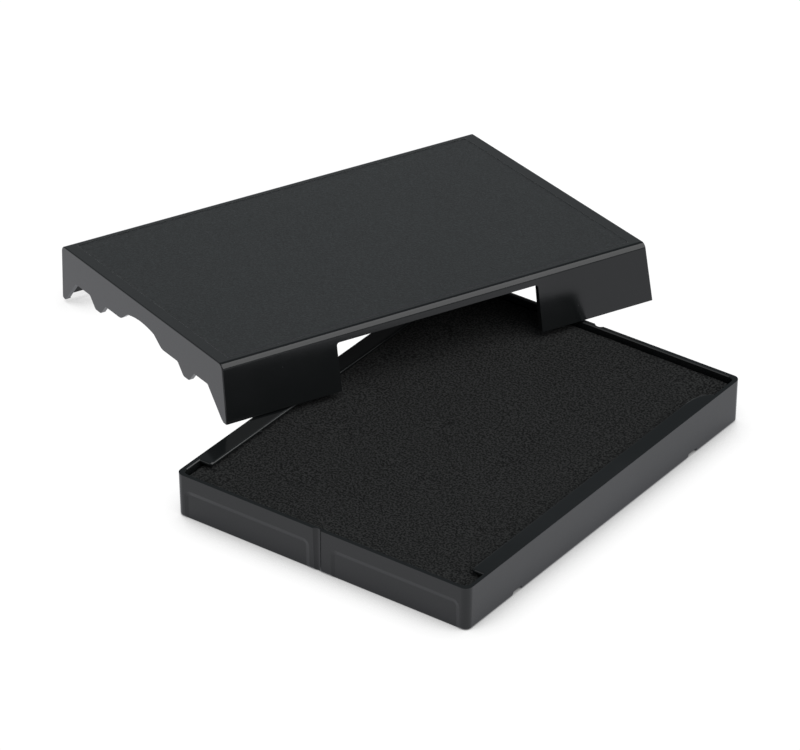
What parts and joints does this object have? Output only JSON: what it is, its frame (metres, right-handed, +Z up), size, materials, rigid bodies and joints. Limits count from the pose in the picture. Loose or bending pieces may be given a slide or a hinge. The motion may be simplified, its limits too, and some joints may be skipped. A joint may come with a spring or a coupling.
{
  "type": "stamp ink pad",
  "caption": "Shallow black plastic tray with a black foam ink pad held by side lips, and its legged protective cover leaning askew on the tray's rim.",
  "frame": {"origin": "middle of the tray's flat underside", "axes": "+Z up out of the pad, +Y along the tray's long side, -Y and +Y the tray's grooved short ends; the cover lies over the tray's corner at -X, +Y"},
  "size_m": [0.0895, 0.0894, 0.0143],
  "materials": {
    "tray_plastic": "smooth gloss black moulding",
    "pad_foam": "fine-pored matt black foam, inked",
    "cover_plastic": "gloss black moulding with a fine matt field on top"
  },
  "bodies": {
    "tray_body": {"tray": "tray_plastic", "ink_pad": "pad_foam"},
    "cover_body": {"cover": "cover_plastic"}
  },
  "joints": [
    {"name": "cover_lift", "type": "slide", "parent": "tray_body", "child": "cover_body", "axis": [0, 0, 1], "range_m": [0, 0.05]}
  ]
}
